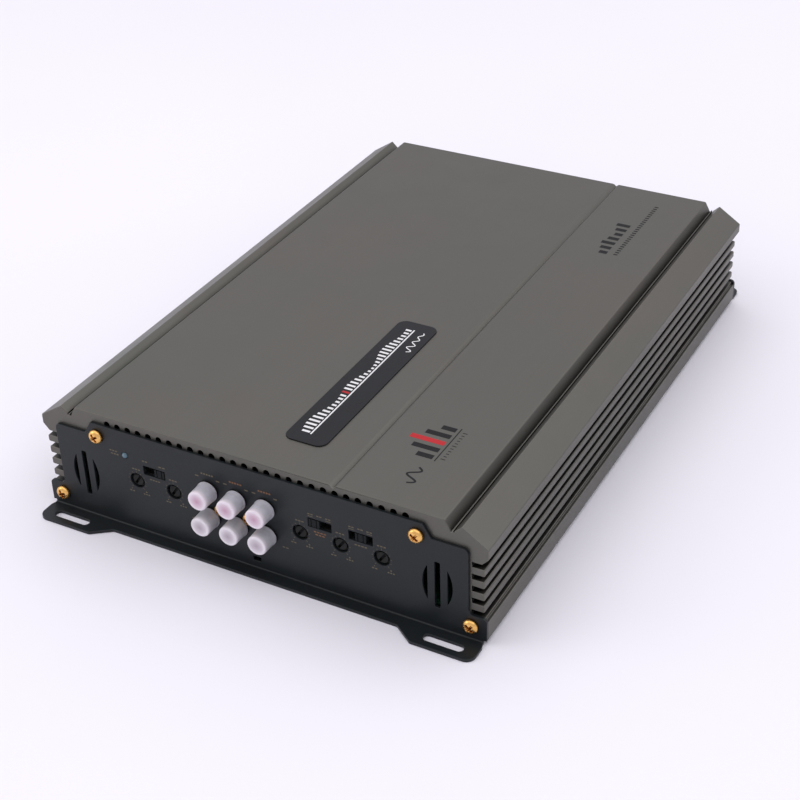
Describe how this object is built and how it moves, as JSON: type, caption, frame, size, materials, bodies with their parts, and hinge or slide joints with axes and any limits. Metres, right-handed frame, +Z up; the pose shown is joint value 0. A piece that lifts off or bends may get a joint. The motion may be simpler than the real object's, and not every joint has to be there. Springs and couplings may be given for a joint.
{
  "type": "car amplifier",
  "caption": "Low finned amplifier housing with a control end of capped sockets, trimmers and switches, and slotted mounting flanges.",
  "frame": {"origin": "on the mounting plane at the centre of the base", "axes": "+X to the right along the control end, +Y from the control end to the wiring end, +Z up"},
  "size_m": [0.228, 0.348, 0.0596],
  "materials": {
    "heatsink_metal": "satin bead-blasted and anodised, warm gunmetal grey",
    "plate_paint": "satin black powder coat with a fine texture",
    "cover_paint": "satin black powder coat",
    "gold_screw": "bright gold-passivated steel",
    "gold_contact": "polished gold plate",
    "bright_steel": "zinc-plated",
    "black_plastic": "fine moulded texture",
    "rotor_plastic": "satin dark grey moulding",
    "switch_knob": "satin dark grey moulding",
    "cap_plastic": "milky translucent soft plastic",
    "red_plastic": "moulded",
    "white_plastic": "moulded",
    "board_green": "solder mask over glass-epoxy laminate",
    "ferrite": "sintered, dark grey",
    "copper_wire": "enamelled copper",
    "can_sleeve": "shrink sleeve",
    "chip_plastic": "moulded epoxy",
    "thermal_pad": "silicone-coated fabric",
    "badge_black": "polished black with fine silver and red print",
    "fuse_plastic": "translucent green moulding",
    "led_lens": "tinted clear epoxy"
  },
  "bodies": {
    "chassis": {"heatsink": "heatsink_metal", "front_plate": "plate_paint", "rear_plate": "plate_paint", "front_plate_screws": "gold_screw", "rear_plate_screws": "gold_screw", "bottom_cover": "cover_paint", "bottom_cover_screws": "bright_steel", "main_board": "board_green", "control_board_left": "board_green", "control_board_right": "board_green", "board_header_left": "black_plastic", "board_header_right": "black_plastic", "board_standoffs": "bright_steel", "board_screws": "bright_steel", "rca_housing": "black_plastic", "rca_shells": "gold_contact", "rca_inserts_white": "white_plastic", "rca_inserts_red": "red_plastic", "rca_contacts": "gold_contact", "rca_screws": "gold_screw", "trimmer_cases": "black_plastic", "switch_cases": "black_plastic", "power_led": "led_lens", "power_terminal_block": "black_plastic", "power_terminal_barrels": "gold_contact", "power_terminal_screws": "bright_steel", "speaker_terminal_block": "black_plastic", "speaker_terminal_barrels": "gold_contact", "speaker_terminal_screws": "bright_steel", "fuse_holder": "black_plastic", "transformer_core": "ferrite", "transformer_winding": "copper_wire", "choke_core": "ferrite", "choke_winding": "copper_wire", "storage_capacitors": "can_sleeve", "signal_capacitors": "can_sleeve", "amplifier_chips": "chip_plastic", "power_transistors": "chip_plastic", "thermal_pads": "thermal_pad", "clamp_bars": "bright_steel", "clamp_screws": "bright_steel", "name_plate": "badge_black"},
    "dust_cap_1": {"dust_cap_1": "cap_plastic"},
    "dust_cap_2": {"dust_cap_2": "cap_plastic"},
    "dust_cap_3": {"dust_cap_3": "cap_plastic"},
    "dust_cap_4": {"dust_cap_4": "cap_plastic"},
    "dust_cap_5": {"dust_cap_5": "cap_plastic"},
    "dust_cap_6": {"dust_cap_6": "cap_plastic"},
    "trimmer_rotor_1": {"trimmer_rotor_1": "rotor_plastic"},
    "trimmer_rotor_2": {"trimmer_rotor_2": "rotor_plastic"},
    "trimmer_rotor_3": {"trimmer_rotor_3": "rotor_plastic"},
    "trimmer_rotor_4": {"trimmer_rotor_4": "rotor_plastic"},
    "trimmer_rotor_5": {"trimmer_rotor_5": "rotor_plastic"},
    "switch_slider_1": {"switch_slider_1": "switch_knob"},
    "switch_slider_2": {"switch_slider_2": "switch_knob"},
    "switch_slider_3": {"switch_slider_3": "switch_knob"},
    "blade_fuse_1": {"blade_fuse_1": "fuse_plastic"},
    "blade_fuse_2": {"blade_fuse_2": "fuse_plastic"}
  },
  "joints": [
    {"name": "trimmer_turn_1", "type": "hinge", "parent": "chassis", "child": "trimmer_rotor_1", "pos_m": [-0.0615, -0.1602, 0.0296], "axis": [0, -1, 0], "range_deg": [-140, 140]},
    {"name": "trimmer_turn_2", "type": "hinge", "parent": "chassis", "child": "trimmer_rotor_2", "pos_m": [-0.0414, -0.1602, 0.0296], "axis": [0, -1, 0], "range_deg": [-140, 140]},
    {"name": "trimmer_turn_3", "type": "hinge", "parent": "chassis", "child": "trimmer_rotor_3", "pos_m": [0.0246, -0.1602, 0.0296], "axis": [0, -1, 0], "range_deg": [-140, 140]},
    {"name": "trimmer_turn_4", "type": "hinge", "parent": "chassis", "child": "trimmer_rotor_4", "pos_m": [0.0447, -0.1602, 0.0296], "axis": [0, -1, 0], "range_deg": [-140, 140]},
    {"name": "trimmer_turn_5", "type": "hinge", "parent": "chassis", "child": "trimmer_rotor_5", "pos_m": [0.0648, -0.1602, 0.0296], "axis": [0, -1, 0], "range_deg": [-140, 140]},
    {"name": "switch_slide_1", "type": "slide", "parent": "chassis", "child": "switch_slider_1", "axis": [1, 0, 0], "range_m": [-0.0056, 0]},
    {"name": "switch_slide_2", "type": "slide", "parent": "chassis", "child": "switch_slider_2", "axis": [1, 0, 0], "range_m": [0, 0.0056]},
    {"name": "switch_slide_3", "type": "slide", "parent": "chassis", "child": "switch_slider_3", "axis": [1, 0, 0], "range_m": [-0.0028, 0.0028]},
    {"name": "dust_cap_pull_1", "type": "slide", "parent": "chassis", "child": "dust_cap_1", "axis": [0, -1, 0], "range_m": [0, 0.012]},
    {"name": "dust_cap_pull_2", "type": "slide", "parent": "chassis", "child": "dust_cap_2", "axis": [0, -1, 0], "range_m": [0, 0.012]},
    {"name": "dust_cap_pull_3", "type": "slide", "parent": "chassis", "child": "dust_cap_3", "axis": [0, -1, 0], "range_m": [0, 0.012]},
    {"name": "dust_cap_pull_4", "type": "slide", "parent": "chassis", "child": "dust_cap_4", "axis": [0, -1, 0], "range_m": [0, 0.012]},
    {"name": "dust_cap_pull_5", "type": "slide", "parent": "chassis", "child": "dust_cap_5", "axis": [0, -1, 0], "range_m": [0, 0.012]},
    {"name": "dust_cap_pull_6", "type": "slide", "parent": "chassis", "child": "dust_cap_6", "axis": [0, -1, 0], "range_m": [0, 0.012]},
    {"name": "fuse_pull_1", "type": "slide", "parent": "chassis", "child": "blade_fuse_1", "axis": [0, 1, 0], "range_m": [0, 0.015]},
    {"name": "fuse_pull_2", "type": "slide", "parent": "chassis", "child": "blade_fuse_2", "axis": [0, 1, 0], "range_m": [0, 0.015]}
  ]
}
